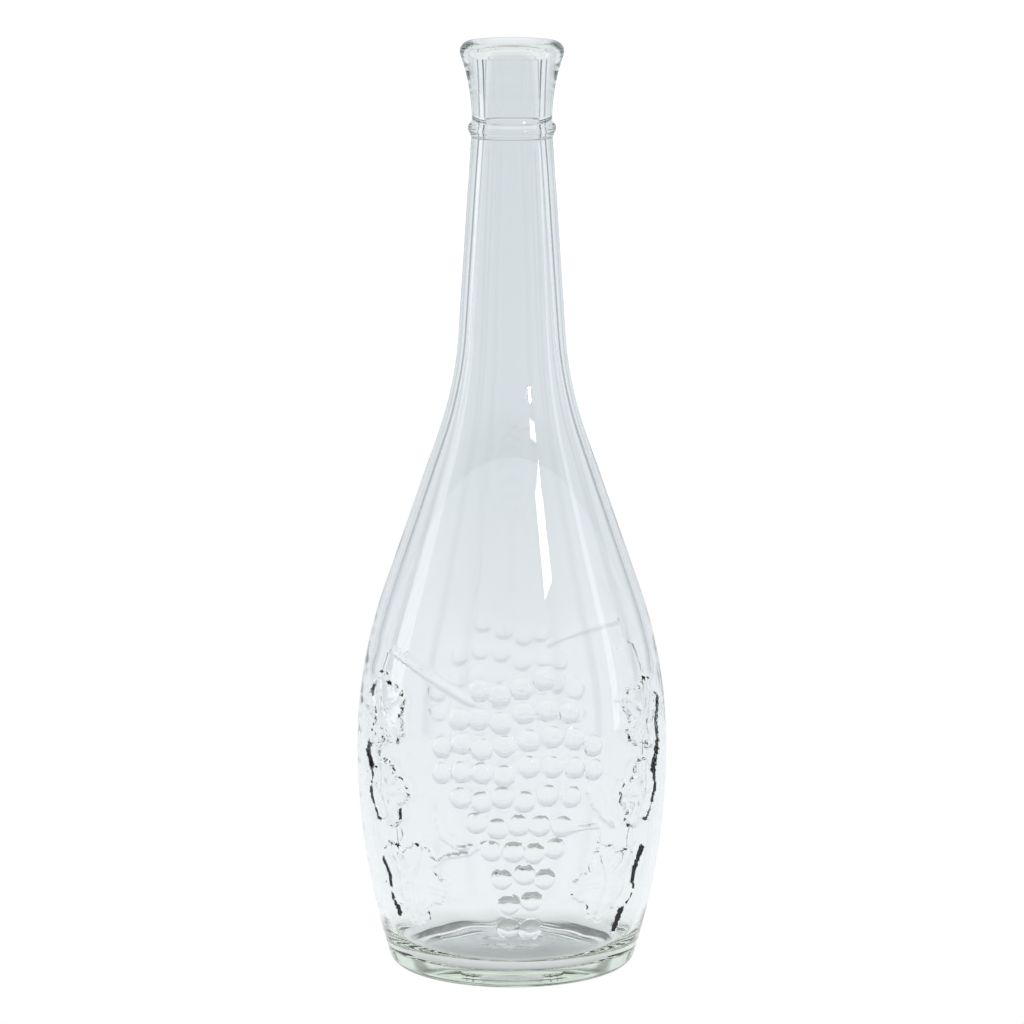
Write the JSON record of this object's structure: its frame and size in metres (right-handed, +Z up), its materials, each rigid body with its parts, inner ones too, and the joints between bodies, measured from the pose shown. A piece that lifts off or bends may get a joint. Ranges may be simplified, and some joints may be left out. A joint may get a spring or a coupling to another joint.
{
  "type": "glass decanter bottle",
  "caption": "Clear glass teardrop bottle with a long cork-mouth neck, ring and flared lip; lower body embossed with grape bunches, vine leaves and stems.",
  "frame": {"origin": "centre of the foot, on the plane the bottle stands on", "axes": "+Z up the bottle's axis to the mouth; the middle of one embossed grape bunch faces -Y, the other +Y"},
  "size_m": [0.1038, 0.107, 0.311],
  "materials": {
    "clear_glass": "clear, polished by fire, faint green in thick places"
  },
  "bodies": {
    "root": {"bottle": "clear_glass"}
  },
  "joints": []
}
